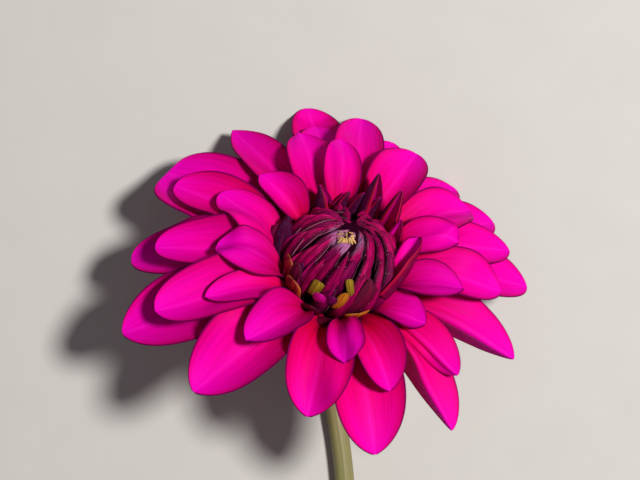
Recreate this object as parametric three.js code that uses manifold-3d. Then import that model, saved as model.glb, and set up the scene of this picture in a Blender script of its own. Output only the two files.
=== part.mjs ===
// A dahlia in full bloom with a closed middle, cut with a length of stem and laid on a table.
//
// The flower is drawn upright in a frame of its own: its axis is +Z through the closed middle,
// whose widest level is z = 0, and directions round it run anticlockwise from +X. laid() then
// leans it over and lifts it to where it lies. The table is the plane z = 0 of the part's frame.

import * as THREE from 'three';
import Module from 'manifold-3d';

const wasm = await Module();
wasm.setup();

// Driving dimensions, in millimetres and degrees.

// How the flower lies.
const HEAD_CENTRE = new THREE.Vector3(2.43, 30.6, 33);
const HEAD_LEAN = 33; // from upright
const HEAD_TURN = 14; // to the right of +Y, which it leans towards
const GAP = 0.3; // between pieces that touch
const PRESS_SOFTNESS = 1; // how gently a petal bends where the table stops it

// The petals, from the outermost ring, 0, to the innermost, 2. A ring number between them
// takes its share of both. A petal leaves the head at one angle to the flower's level and
// eases to another by its tip. Across, it is an arc: cup is half its angle, and keel the
// depth of the crease along its middle, as a share of its half width.
const PETAL_THICKNESS = 0.7;
const OUTER_RING = { radius: 11.5, height: -9, rise: 30, fall: -26, cup: 38, keel: 0.12 };
const INNER_RING = { radius: 13.3, height: -6.2, rise: 62, fall: -4, cup: 50, keel: 0.25 };

// sweep is how far the tip is swept sideways, as a share of the length.
const PETALS = [
  { ring: 0, at: 4, length: 40, width: 16 },
  { ring: 0, at: 28, length: 37.5, width: 15 },
  { ring: 0, at: 46, length: 38.5, width: 13, droop: 8, point: 0.8 },
  { ring: 0, at: 71, length: 37.5, width: 13.5 },
  { ring: 0, at: 97, length: 45, width: 15 },
  { ring: 0.3, at: 121, length: 40, width: 13, sweep: 0.02, roll: -6, point: 0.85 },
  { ring: 0, at: 150, length: 47.5, width: 22.5, sweep: -0.05 },
  { ring: 0, at: 178, length: 41, width: 15.5, sweep: -0.05 },
  { ring: 0, at: 203, length: 44.5, width: 21, sweep: -0.09 },
  { ring: 0.3, at: 229, length: 37.5, width: 20, sweep: -0.09 },
  { ring: 0.4, at: 260, length: 28.8, width: 17.5 },
  { ring: 0, at: 282, length: 37, width: 19.5 },
  { ring: 0, at: 307, length: 37, width: 15 },
  { ring: 0.2, at: 337, length: 38, width: 15.5 },
  { ring: 0.6, at: 13, length: 34.6, width: 14 },
  { ring: 1, at: 31, length: 28.6, width: 16 },
  { ring: 1.2, at: 62, length: 30.6, width: 17 },
  { ring: 0.8, at: 82, length: 36.6, width: 14.5 },
  { ring: 0.7, at: 97, length: 33.5, width: 15 },
  { ring: 1.2, at: 105, length: 28.2, width: 14 },
  { ring: 1, at: 155, length: 35.2, width: 15, sweep: -0.02 },
  { ring: 1, at: 180, length: 34.7, width: 14, sweep: -0.05 },
  { ring: 1, at: 204, length: 36.7, width: 17, sweep: -0.08 },
  { ring: 1.2, at: 290, length: 24.6, width: 15.5 },
  { ring: 1, at: 315, length: 29.2, width: 15, sweep: 0.02 },
  { ring: 1, at: 355, length: 30.2, width: 15 },
  { ring: 2, at: 16, length: 19.6, width: 13, sweep: 0.02 },
  { ring: 2, at: 90, length: 23.6, width: 11 },
  { ring: 2, at: 136, length: 19, width: 12.5 },
  { ring: 2, at: 161, length: 25, width: 14, sweep: -0.09 },
  { ring: 2, at: 192, length: 20.6, width: 14.5, sweep: -0.1 },
  { ring: 1.8, at: 216, length: 27.6, width: 13, sweep: -0.12 },
  { ring: 2, at: 237, length: 26, width: 15, sweep: -0.08 },
  { ring: 2, at: 272, length: 16, width: 12.5 },
  { ring: 2, at: 319, length: 15, width: 11.5, sweep: 0.03 },
  { ring: 2, at: 344, length: 19.6, width: 13.5, sweep: 0.04 },
];

// Half-open petals, still rolled into quills, stand between the petals and the closed middle.
// Each runs from the head to a tip at its own direction, radius and height.
const QUILL_ROOT = { radius: 14.4, height: -7.6 };
const QUILLS = [
  { from: 120, to: 109, radius: 18, height: 7, width: 7 },
  { from: 90, to: 84, radius: 17, height: 5.5, width: 6 },
  { from: 73, to: 67, radius: 21.5, height: 10, width: 8 },
  { from: 60, to: 58, radius: 17, height: 7.5, width: 5 },
  { from: 46, to: 48, radius: 21, height: 9, width: 8 },
  { from: 20, to: 32, radius: 16.6, height: 7, width: 5 },
  { from: 316, to: 374, radius: 17.6, height: 5, width: 6 },
  { from: 178, to: 156, radius: 17.2, height: 7, width: 6 },
  { from: 170, to: 150, radius: 19.5, height: 6, width: 5.5 },
];

// The petals' roots crowd together in a round core, which the closed middle sits on.
const CORE_SIDES = 24;
const CORE_TOP = -7;
const CORE_BOTTOM = -14.4;
const CORE_OUTLINE = [
  [7.6, CORE_BOTTOM], [13, -9.7], [17, -7], [18, -4], [16, -2.5], [13.6, -3.2], [12.2, CORE_TOP],
];

// The closed middle: keeled young florets wrap a dome in rings, the outer ones over the inner,
// and each turns as it climbs. base and tip are angles of height on the dome.
const DOME_RADIUS = 11.8;
const DOME_HEIGHT = 9.6;
const DOME_DEPTH = 11.5; // of the whole ellipse below the widest level, cut off at the core
const DOME_SIDES = 24;
const FLORET_TURN = 34;
const FLORET_KEEL = 0.75;
const FLORET_RINGS = [
  { count: 8, base: 30, tip: 84, width: 5.2, lift: 0 },
  { count: 12, base: 4, tip: 70, width: 5.6, lift: 0.3 },
  { count: 14, base: -24, tip: 52, width: 5.2, lift: 0.6 },
];

// Papery inner bracts hug the underside of the petals, and green outer ones turn back.
const BRACT_THICKNESS = 0.7;
const INNER_BRACTS = {
  count: 8, radius: 9, height: -15.1, rise: 50, fall: 20, length: 14, width: 10.5,
  cup: 26, keel: 0, widest: 0.6, point: 0.8, claw: 0.5, steps: 3, parts: 2, sunk: 0.5,
};
const OUTER_BRACTS = {
  count: 5, radius: 6.6, height: -17.7, rise: -8, fall: -55, length: 13, width: 7,
  cup: 25, keel: 0.2, widest: 0.66, point: 0.7, claw: 0.5, steps: 4, parts: 4, sunk: 1.5,
};

// The stem swells under the head, bends back through its neck and lies along the table.
const STEM_SIDES = 12;
const STEM_RADIUS = 2.5;
const NECK_RADIUS = 2.8;
const STEM_LYING_LENGTH = 70;
const STEM_HEADING = 11; // of the lying stem where it meets the table, to the right of -Y
const STEM_CURVE = -34; // further turn by its cut end
const NECK_STEPS = 6;
const LYING_STEPS = 8;
const SWELLING = [[-15.8, 7.4], [-17, 8.1], [-18.8, 7.4], [-20.6, 5.4], [-22.4, 3.6]];
const NECK_TOP = -24;

const RAD = Math.PI / 180;
const mix = THREE.MathUtils.lerp;

// The flower's own X, Y and axis where it lies.
const headAxis = new THREE.Vector3(
  Math.sin(HEAD_LEAN * RAD) * Math.sin(HEAD_TURN * RAD),
  Math.sin(HEAD_LEAN * RAD) * Math.cos(HEAD_TURN * RAD),
  Math.cos(HEAD_LEAN * RAD),
);
const headX = new THREE.Vector3(1, 0, 0).addScaledVector(headAxis, -headAxis.x).normalize();
const headY = new THREE.Vector3().crossVectors(headAxis, headX);

// A point of the upright flower, where the laid flower has it.
function laid(point) {
  return HEAD_CENTRE.clone()
    .addScaledVector(headX, point.x)
    .addScaledVector(headY, point.y)
    .addScaledVector(headAxis, point.z);
}

// A laid point of a petal's middle layer, bent up softly where the table stops it.
function pressed(point) {
  const lowest = PETAL_THICKNESS / 2;
  const height = point.z - lowest;
  if (height < PRESS_SOFTNESS) {
    point.z = lowest + PRESS_SOFTNESS * Math.exp(height / PRESS_SOFTNESS - 1);
  }
  return point;
}

const SLIVER = 0.02; // edges shorter than this are closed up where blades cross

function solidOf(vertices, triangles) {
  const mesh = new wasm.Mesh({
    numProp: 3,
    vertProperties: new Float32Array(vertices.flatMap((v) => [v.x, v.y, v.z])),
    triVerts: new Uint32Array(triangles.flat()),
  });
  return new wasm.Manifold(mesh);
}

// Solids joined as one, without the sealed pockets that can be left between them.
function joined(solids) {
  const whole = solids.reduce((sum, solid) => sum.add(solid)).simplify(SLIVER);
  return whole.decompose().reduce((largest, part) => (part.volume() > largest.volume() ? part : largest));
}

// A closed solid through rings of points, each end closed by a fan round its own middle.
function loft(rings) {
  const sides = rings[0].length;
  const vertices = rings.flat();
  const triangles = [];
  for (let i = 0; i < rings.length - 1; i++) {
    for (let j = 0; j < sides; j++) {
      const a = i * sides + j;
      const b = i * sides + ((j + 1) % sides);
      triangles.push([a, b, b + sides], [a, b + sides, a + sides]);
    }
  }
  const middle = (ring) => ring.reduce((sum, p) => sum.add(p), new THREE.Vector3()).divideScalar(sides);
  const first = vertices.push(middle(rings[0])) - 1;
  const last = vertices.push(middle(rings.at(-1))) - 1;
  const end = (rings.length - 1) * sides;
  for (let j = 0; j < sides; j++) {
    const next = (j + 1) % sides;
    triangles.push([first, next, j], [last, end + j, end + next]);
  }
  return solidOf(vertices, triangles);
}

// A round solid about the flower's axis, from its outline of [radius, height] points, upwards.
function revolved(outline, sides) {
  return loft(outline.map(([radius, height]) => {
    const ring = [];
    for (let j = 0; j < sides; j++) {
      const turn = (2 * Math.PI * j) / sides;
      ring.push(laid(new THREE.Vector3(radius * Math.cos(turn), radius * Math.sin(turn), height)));
    }
    return ring;
  }));
}

// Blades: petals, quills and bracts.

const TIP_CROWDING = 1.35; // steps are shorter towards the tip
const EASING = 1.6;
const KEEL_ROUNDING = 0.05;
const LEAST_SHARE = 0.03; // of the width, left at the very tip

// How wide a blade is at a share t of its length, as a share of its full width.
function widthShare(t, { widest, point, claw }) {
  if (t < widest) {
    return claw + (1 - claw) * Math.cos((Math.PI / 2) * (1 - t / widest)) ** 0.95;
  }
  const beyond = (t - widest) / (1 - widest);
  return Math.max(LEAST_SHARE, (1 - beyond ** 2) ** point);
}

function lineAngle({ rise, fall }, t) {
  return RAD * mix(fall, rise, (1 - t) ** EASING);
}

// How far out and up a blade's middle line has got at t.
function lineReach(blade, t) {
  const slices = 24;
  const slice = (blade.length * t) / slices;
  let out = 0;
  let up = 0;
  for (let i = 0; i < slices; i++) {
    const angle = lineAngle(blade, (t * (i + 0.5)) / slices);
    out += slice * Math.cos(angle);
    up += slice * Math.sin(angle);
  }
  return { out, up };
}

// A petal's or bract's middle line: its place, and the directions to its side and its face.
function petalLine(blade, t) {
  const outward = new THREE.Vector3(Math.cos(blade.at * RAD), Math.sin(blade.at * RAD), 0);
  const left = new THREE.Vector3(-outward.y, outward.x, 0);
  const angle = lineAngle(blade, t);
  const { out, up } = lineReach(blade, t);
  const face = new THREE.Vector3(0, 0, Math.cos(angle)).addScaledVector(outward, -Math.sin(angle));
  const roll = blade.roll * RAD * Math.min(1, t * 1.5);
  return {
    place: new THREE.Vector3(0, 0, blade.height + up)
      .addScaledVector(outward, blade.radius + out)
      .addScaledVector(left, blade.sweep * blade.length * t * t),
    side: left.clone().multiplyScalar(Math.cos(roll)).addScaledVector(face, Math.sin(roll)),
    face: face.multiplyScalar(Math.cos(roll)).addScaledVector(left, -Math.sin(roll)),
  };
}

// A quill's middle line climbs round the closed middle, facing it.
function quillLine(quill, t) {
  const place = (share) => {
    const turn = mix(quill.from, quill.to, share) * RAD;
    const radius = mix(QUILL_ROOT.radius, quill.radius, share ** 1.3);
    const height = mix(QUILL_ROOT.height, quill.height, share);
    return new THREE.Vector3(radius * Math.cos(turn), radius * Math.sin(turn), height);
  };
  const along = place(t + 0.01).sub(place(t)).normalize();
  const inward = place(t).setZ(0).negate().normalize();
  const side = new THREE.Vector3().crossVectors(inward, along).normalize();
  return { place: place(t), side, face: new THREE.Vector3().crossVectors(along, side) };
}

// The middle layer of a blade, as rows of points of the upright flower from root to tip.
function bladeRows(blade, line) {
  const rows = [];
  for (let i = -1; i <= blade.steps; i++) {
    const t = 1 - (1 - Math.max(i, 0) / blade.steps) ** TIP_CROWDING;
    const { place, side, face } = line(blade, t);
    if (i < 0) {
      place.addScaledVector(new THREE.Vector3().crossVectors(side, face), -blade.sunk);
    }
    const half = (blade.width / 2) * widthShare(t, blade);
    const cup = RAD * mix(blade.cup, Math.max(blade.cup, blade.rootCup), (1 - t) ** 4);
    const row = [];
    for (let j = 0; j <= blade.parts; j++) {
      const v = (2 * j) / blade.parts - 1;
      const crease = Math.sqrt(v * v + KEEL_ROUNDING) - Math.sqrt(KEEL_ROUNDING);
      const across = (half / cup) * Math.sin(cup * v);
      const lift = (half / cup) * (1 - Math.cos(cup * v)) + blade.keel * half * crease;
      row.push(place.clone().addScaledVector(side, across).addScaledVector(face, lift));
    }
    rows.push(row);
  }
  return rows;
}

// A closed solid of even thickness about a middle layer, split alike on both faces.
function thickened(rows, thickness) {
  const last = rows.length - 1;
  const width = rows[0].length;
  const inner = (i, most) => Math.min(Math.max(i, 0), most);
  const above = [];
  const below = [];
  rows.forEach((row, i) => row.forEach((point, j) => {
    const along = rows[inner(i + 1, last)][j].clone().sub(rows[inner(i - 1, last)][j]);
    const across = row[inner(j + 1, width - 1)].clone().sub(row[inner(j - 1, width - 1)]);
    const offset = along.cross(across).setLength(thickness / 2);
    above.push(point.clone().add(offset));
    below.push(point.clone().sub(offset));
  }));
  const under = above.length;
  const triangles = [];
  for (let i = 0; i < last; i++) {
    for (let j = 0; j < width - 1; j++) {
      const a = i * width + j;
      const b = a + width;
      triangles.push([a, b, b + 1], [a, b + 1, a + 1]);
      triangles.push([a + under, b + 1 + under, b + under], [a + under, a + 1 + under, b + 1 + under]);
    }
  }
  const rim = [];
  for (let i = 0; i < last; i++) rim.push(i * width);
  for (let j = 0; j < width - 1; j++) rim.push(last * width + j);
  for (let i = last; i > 0; i--) rim.push(i * width + width - 1);
  for (let j = width - 1; j > 0; j--) rim.push(j);
  rim.forEach((a, k) => {
    const b = rim[(k + 1) % rim.length];
    triangles.push([a, a + under, b + under], [a, b + under, b]);
  });
  return solidOf([...above, ...below], triangles);
}

// steps and parts are the faces along a blade and across it, and sunk is how deep its root is.
const PETAL = {
  sweep: 0, roll: 0, point: 0.62, widest: 0.56, claw: 0.18, rootCup: 105, steps: 5, parts: 3, sunk: 2.2,
};
const QUILL = {
  cup: 70, rootCup: 0, keel: 0.1, widest: 0.45, point: 0.9, claw: 0.3, steps: 4, parts: 2, sunk: 1,
};

function petalShape(petal) {
  const share = petal.ring / 2;
  const shape = { ...PETAL, ...petal };
  for (const key of Object.keys(OUTER_RING)) {
    shape[key] = mix(OUTER_RING[key], INNER_RING[key], share);
  }
  shape.fall -= petal.droop ?? 0;
  return shape;
}

// The open petals and quills, grown together on their core.
function makePetals() {
  const core = revolved(CORE_OUTLINE, CORE_SIDES);
  const petals = PETALS.map((petal) => bladeRows(petalShape(petal), petalLine));
  const quills = QUILLS.map((quill) => bladeRows({ ...QUILL, ...quill }, quillLine));
  const blades = [...petals, ...quills].map((rows) => {
    const layer = rows.map((row) => row.map((point) => pressed(laid(point))));
    return thickened(layer, PETAL_THICKNESS);
  });
  return joined([core, ...blades]);
}

// A point near the dome, by its angle of height, its direction, and how far it stands out.
function onDome(height, turn, standing) {
  const depth = height < 0 ? DOME_DEPTH : DOME_HEIGHT;
  const radius = (DOME_RADIUS + standing) * Math.cos(height * RAD);
  return new THREE.Vector3(
    radius * Math.cos(turn * RAD),
    radius * Math.sin(turn * RAD),
    (depth + standing) * Math.sin(height * RAD),
  );
}

// One keeled floret, as a loft of four-sided sections: edge, keel, edge and a root in the dome.
function makeFloret(ring, at) {
  const steps = 4;
  const sections = [];
  for (let i = 0; i <= steps; i++) {
    const t = i / steps;
    const height = mix(ring.base, ring.tip, t);
    const turn = at + FLORET_TURN * (t - 0.5);
    const half = (ring.width / 2) * widthShare(t, { widest: 0.4, point: 0.8, claw: 0.75 });
    const spread = half / ((DOME_RADIUS + ring.lift) * Math.cos(height * RAD)) / RAD;
    sections.push([
      laid(onDome(height, turn - spread, ring.lift)),
      laid(onDome(height, turn, ring.lift - 2)),
      laid(onDome(height, turn + spread, ring.lift)),
      laid(onDome(height, turn, ring.lift + FLORET_KEEL * Math.min(1, half / 1.2))),
    ]);
  }
  return loft(sections.map((section) => section.reverse()));
}

// The closed middle: its dome, set on the core, and the florets wrapped over it.
function makeClosedMiddle() {
  const foot = -Math.asin(-(CORE_TOP + GAP) / DOME_DEPTH) / RAD;
  const outline = [];
  for (let height = foot; height < 85; height += (90 - foot) / 8) {
    const point = onDome(height, 0, 0);
    outline.push([point.x, point.z]);
  }
  const florets = FLORET_RINGS.flatMap((ring, level) => {
    const spacing = 360 / ring.count;
    return Array.from({ length: ring.count }, (_, i) => makeFloret(ring, spacing * (i + level / 3)));
  });
  return joined([revolved(outline, DOME_SIDES), ...florets]);
}

// Bracts of one kind, evenly round the head.
function makeBracts(kind) {
  return Array.from({ length: kind.count }, (_, i) => {
    const bract = { ...kind, at: (360 / kind.count) * (i + 0.3), sweep: 0, roll: 0, rootCup: 0 };
    return thickened(bladeRows(bract, petalLine).map((row) => row.map(laid)), BRACT_THICKNESS);
  });
}

// The inner bracts grow from a thin plate between the petals' core and the stem's swelling.
function makeInnerBracts() {
  const bottom = SWELLING[0][0] + GAP;
  const top = CORE_BOTTOM - GAP;
  const plate = revolved([[8.2, bottom], [9, bottom + 0.3], [8.2, top]], CORE_SIDES);
  return joined([plate, ...makeBracts(INNER_BRACTS)]);
}

// The stem's middle line: places, directions and radii from the head to the cut end. The neck
// is one round bend, as wide as its height above the table allows.
function stemStations() {
  const down = headAxis.clone().negate();
  const stations = SWELLING.map(([height, radius]) => {
    return { place: laid(new THREE.Vector3(0, 0, height)), direction: down, radius };
  });
  const flat = new THREE.Vector3(Math.sin(STEM_HEADING * RAD), -Math.cos(STEM_HEADING * RAD), 0);
  const bend = down.angleTo(flat);
  const inward = flat.clone().addScaledVector(down, -Math.cos(bend)).normalize();
  const neckTop = laid(new THREE.Vector3(0, 0, NECK_TOP));
  const drop = Math.sin(bend) * down.z + (1 - Math.cos(bend)) * inward.z;
  const neckRadius = (STEM_RADIUS - neckTop.z) / drop;
  for (let i = 0; i <= NECK_STEPS; i++) {
    const turn = (bend * i) / NECK_STEPS;
    const place = neckTop.clone()
      .addScaledVector(down, neckRadius * Math.sin(turn))
      .addScaledVector(inward, neckRadius * (1 - Math.cos(turn)));
    const direction = down.clone().multiplyScalar(Math.cos(turn)).addScaledVector(inward, Math.sin(turn));
    stations.push({ place, direction, radius: mix(NECK_RADIUS, STEM_RADIUS, i / NECK_STEPS) });
  }
  const place = stations.at(-1).place.clone();
  for (let i = 1; i <= LYING_STEPS; i++) {
    const turn = RAD * STEM_CURVE * (i / LYING_STEPS) ** 2;
    const direction = flat.clone().applyAxisAngle(new THREE.Vector3(0, 0, 1), turn);
    place.addScaledVector(direction, STEM_LYING_LENGTH / LYING_STEPS);
    stations.push({ place: place.clone(), direction, radius: STEM_RADIUS });
  }
  return stations;
}

// The stem with its swelling, and the outer bracts that grow from it.
function makeStem() {
  const rings = stemStations().map(({ place, direction, radius }) => {
    const right = new THREE.Vector3(1, 0, 0).addScaledVector(direction, -direction.x).normalize();
    const up = new THREE.Vector3().crossVectors(direction, right);
    const ring = [];
    for (let j = 0; j < STEM_SIDES; j++) {
      const turn = (2 * Math.PI * j) / STEM_SIDES;
      ring.push(place.clone()
        .addScaledVector(right, radius * Math.cos(turn))
        .addScaledVector(up, radius * Math.sin(turn)));
    }
    return ring;
  });
  return joined([loft(rings), ...makeBracts(OUTER_BRACTS)]);
}

function addMesh(group, name, color, roughness, solid) {
  const { numProp, vertProperties, triVerts } = solid.getMesh();
  const geometry = new THREE.BufferGeometry();
  geometry.setAttribute('position', new THREE.BufferAttribute(vertProperties, numProp));
  geometry.setIndex(new THREE.BufferAttribute(triVerts, 1));
  geometry.computeVertexNormals();
  const mesh = new THREE.Mesh(geometry, new THREE.MeshStandardMaterial({ color, roughness, metalness: 0 }));
  mesh.name = name;
  group.add(mesh);
}

const flower = new THREE.Group();
addMesh(flower, 'stem_with_outer_bracts', 0x6f8a3a, 0.6, makeStem());
addMesh(flower, 'inner_bracts', 0xb9b77a, 0.55, makeInnerBracts());
addMesh(flower, 'open_petals', 0xf200a4, 0.5, makePetals());
addMesh(flower, 'closed_middle', 0x6e0a45, 0.5, makeClosedMiddle());

export default flower;
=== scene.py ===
import math
import random

import bpy
import numpy as np
from mathutils import Matrix, Vector
from mathutils.bvhtree import BVHTree


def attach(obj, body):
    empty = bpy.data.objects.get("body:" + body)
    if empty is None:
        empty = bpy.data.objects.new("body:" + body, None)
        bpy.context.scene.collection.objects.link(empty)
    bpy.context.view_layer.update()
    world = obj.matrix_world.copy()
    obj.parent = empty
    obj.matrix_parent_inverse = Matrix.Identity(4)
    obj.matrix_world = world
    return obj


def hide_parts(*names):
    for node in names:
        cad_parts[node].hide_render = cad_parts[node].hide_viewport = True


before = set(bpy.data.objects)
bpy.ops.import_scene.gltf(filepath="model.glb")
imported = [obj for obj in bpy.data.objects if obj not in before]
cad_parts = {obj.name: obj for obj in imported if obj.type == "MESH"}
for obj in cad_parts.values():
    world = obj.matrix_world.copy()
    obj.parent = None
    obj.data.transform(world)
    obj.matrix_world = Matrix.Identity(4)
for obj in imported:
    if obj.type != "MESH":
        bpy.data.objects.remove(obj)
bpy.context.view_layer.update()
bpy.ops.object.select_all(action="DESELECT")

# ---- The cut stem ----
# A dahlia's stem is smooth, firm and green, flushed dark red near the flower. It swells under
# the head, bends back through its neck and lies on the table, and its cut end shows a pale pith.

MM = 0.001
SHARP_ANGLE = math.radians(60)
BLACK, WHITE = (0, 0, 0), (1, 1, 1)

# Where the flower lies, in millimetres and degrees. Its axis leans from upright towards +Y.
HEAD_CENTRE = np.array([2.43, 30.6, 33.0])
HEAD_LEAN = math.radians(33)
HEAD_TURN = math.radians(14)
head_axis = Vector((
    math.sin(HEAD_LEAN) * math.sin(HEAD_TURN),
    math.sin(HEAD_LEAN) * math.cos(HEAD_TURN),
    math.cos(HEAD_LEAN),
))
head_x = (Vector((1, 0, 0)) - head_axis * head_axis.x).normalized()
head_y = head_axis.cross(head_x)
HEAD = np.array([head_x, head_y, head_axis])

# Heights on the flower's axis and radii of the swelling, down to the neck.
SWELLING = [(-15.8, 7.4), (-17, 8.1), (-18.8, 7.4), (-20.6, 5.4), (-22.4, 3.6), (-24, 2.8)]
NECK_RADIUS = 2.8
STEM_RADIUS = 2.5
STEM_LYING_LENGTH = 70
STEM_HEADING = math.radians(11)
STEM_CURVE = math.radians(-34)
STEM_RIBS = 9
STEM_RIB_HEIGHT = 0.05

# How finely the stem's line is divided.
SWELLING_STEP = 0.6
NECK_STEPS = 22
LYING_STEPS = 8
LYING_PARTS = 5
STEM_SIDES = 36
STEM_ROWS = 96
WELD_DISTANCE = 0.01

# The cut end, from its edge inwards: width of the skin, width and depth of the groove inside it,
# and width and height of the pith's edge.
CUT_SKIN = 0.35
CUT_GROOVE = (0.3, -0.12)
CUT_PITH = (0.35, 0.08)

STEM_GREENS = (0.12, 0.17, 0.045), (0.28, 0.31, 0.10)
STEM_FLUSH = (0.34, 0.11, 0.12)
PITH_COLOURS = (0.30, 0.33, 0.12), (0.72, 0.70, 0.42)


def laid(points):
    """Points of the upright flower, where the laid flower has them."""
    return points @ HEAD + HEAD_CENTRE


def flat_sheet(name, columns, rows):
    """A flat grid with its own UV map, u across and v along, that is curled into a piece."""
    bpy.ops.mesh.primitive_grid_add(x_subdivisions=columns, y_subdivisions=rows, size=1)
    piece = bpy.context.object
    piece.name = name
    piece.data.name = name
    return piece


def across_along(piece):
    """Each point of a flat sheet: from 1 to -1 across it, and from 0 to 1 along it."""
    places = np.zeros(len(piece.data.vertices) * 3)
    piece.data.vertices.foreach_get("co", places)
    places = places.reshape(-1, 3)
    return places[:, 0] * -2, places[:, 1] + 0.5


def curl(piece, points):
    """Moves a sheet's points to where they belong, given in millimetres."""
    piece.data.vertices.foreach_set("co", (points * MM).ravel())
    piece.data.update()


def finish_mesh(piece, *modifiers):
    """Adds modifiers, each a kind with its settings, applies them and shades the piece smooth."""
    bpy.ops.object.select_all(action="DESELECT")
    piece.select_set(True)
    bpy.context.view_layer.objects.active = piece
    for kind, settings in modifiers:
        modifier = piece.modifiers.new(kind, kind)
        for key, value in settings.items():
            setattr(modifier, key, value)
        bpy.ops.object.modifier_apply(modifier=modifier.name)
    bpy.ops.object.shade_smooth_by_angle(angle=SHARP_ANGLE)
    piece.select_set(False)


def new_material(name, roughness, specular=0.3):
    """Two functions for a new material: one adds a node, the other links what was made."""
    material = bpy.data.materials.new(name)
    material.use_nodes = True
    nodes = material.node_tree.nodes
    links = material.node_tree.links
    shader = nodes["Principled BSDF"]
    shader.inputs["Roughness"].default_value = roughness
    shader.inputs["Specular IOR Level"].default_value = specular

    def node(kind, inputs=None, **settings):
        made = nodes.new(kind)
        for key, value in settings.items():
            setattr(made, key, value)
        for key, value in (inputs or {}).items():
            if isinstance(value, bpy.types.NodeSocket):
                links.new(value, made.inputs[key])
            else:
                made.inputs[key].default_value = value
        return made

    def finished(colour, relief=None, rough=None):
        """Links a colour, relief as (height, strength, depth in metres), and roughness."""
        links.new(colour, shader.inputs["Base Color"])
        if relief:
            inputs = dict(zip(("Height", "Strength", "Distance"), relief))
            links.new(node("ShaderNodeBump", inputs).outputs["Normal"], shader.inputs["Normal"])
        if rough is not None:
            links.new(rough, shader.inputs["Roughness"])
        return material

    return node, finished


def calculated(node, operation, *values):
    """The output of a Math node."""
    return node("ShaderNodeMath", dict(enumerate(values)), operation=operation).outputs[0]


def ramped(node, value, *stops):
    """A colour that changes with a value, from stops of (position, colour)."""
    ramp = node("ShaderNodeValToRGB", {"Fac": value})
    elements = ramp.color_ramp.elements
    while len(elements) < len(stops):
        elements.new(1)
    for element, (position, colour) in zip(elements, stops):
        element.position = position
        element.color = (*colour, 1)
    return ramp.outputs["Color"]


def mixed(node, share, first, second, blend="MIX"):
    """Two colours mixed by a share."""
    colours = [
        colour if isinstance(colour, bpy.types.NodeSocket) else (*colour, 1)
        for colour in (first, second)
    ]
    inputs = {0: share, 6: colours[0], 7: colours[1]}
    return node("ShaderNodeMix", inputs, data_type="RGBA", blend_type=blend).outputs[2]


def uv_of(node):
    """A sheet's UV map as u, v and the whole vector."""
    vector = node("ShaderNodeUVMap", uv_map="UVMap").outputs["UV"]
    parts = node("ShaderNodeSeparateXYZ", {0: vector})
    return parts.outputs["X"], parts.outputs["Y"], vector


def stretched_noise(node, vector, scale, detail=3, roughness=0.55, distortion=0.0):
    """Noise at its own scale along u and v."""
    placed = node("ShaderNodeMapping", {"Vector": vector, "Scale": scale}).outputs["Vector"]
    inputs = {
        "Vector": placed, "Scale": 1, "Detail": detail,
        "Roughness": roughness, "Distortion": distortion,
    }
    return node("ShaderNodeTexNoise", inputs).outputs["Fac"]


def grainy_material(name, roughness, specular, scale, detail, colours, relief=None):
    """A matt material with a fine grain of two colours, and relief of a strength and depth."""
    node, finished = new_material(name, roughness, specular)
    place = node("ShaderNodeTexCoord").outputs["Object"]
    inputs = {"Vector": place, "Scale": scale, "Detail": detail}
    grain = node("ShaderNodeTexNoise", inputs).outputs["Fac"]
    return finished(mixed(node, grain, *colours), relief and (grain, *relief))


def stem_path():
    """The stem's middle line and its radius, from under the head to the cut end."""
    down = -np.array(head_axis)
    heights = np.arange(SWELLING[0][0], SWELLING[-1][0], -SWELLING_STEP)
    radii = list(np.interp(-heights, [-h for h, _ in SWELLING], [r for _, r in SWELLING]))
    places = [laid(np.array([0, 0, height])) for height in heights]
    flat = np.array([math.sin(STEM_HEADING), -math.cos(STEM_HEADING), 0])
    bend = math.acos(down @ flat)
    inward = flat - down * math.cos(bend)
    inward /= np.linalg.norm(inward)
    neck_top = laid(np.array([0, 0, SWELLING[-1][0]]))
    drop = math.sin(bend) * down[2] + (1 - math.cos(bend)) * inward[2]
    neck_size = (STEM_RADIUS - neck_top[2]) / drop
    for turn in np.linspace(0, bend, NECK_STEPS):
        reach = neck_size * (down * math.sin(turn) + inward * (1 - math.cos(turn)))
        places.append(neck_top + reach)
        radii.append(np.interp(turn, [0, bend], [NECK_RADIUS, STEM_RADIUS]))
    place = places[-1]
    corners = [place]
    for i in range(1, LYING_STEPS + 1):
        turn = STEM_CURVE * (i / LYING_STEPS) ** 2
        heading = np.array([
            flat[0] * math.cos(turn) - flat[1] * math.sin(turn),
            flat[0] * math.sin(turn) + flat[1] * math.cos(turn),
            0,
        ])
        place = place + heading * STEM_LYING_LENGTH / LYING_STEPS
        corners.append(place)
    corners = np.array(corners)
    slopes = np.gradient(corners, axis=0)
    for i in range(LYING_STEPS):
        for s in np.linspace(0, 1, LYING_PARTS + 1)[1:]:
            places.append(
                corners[i] * (2 * s**3 - 3 * s**2 + 1) + slopes[i] * (s**3 - 2 * s**2 + s)
                + corners[i + 1] * (3 * s**2 - 2 * s**3) + slopes[i + 1] * (s**3 - s**2)
            )
            radii.append(STEM_RADIUS)
    return np.array(places), np.array(radii)


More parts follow.
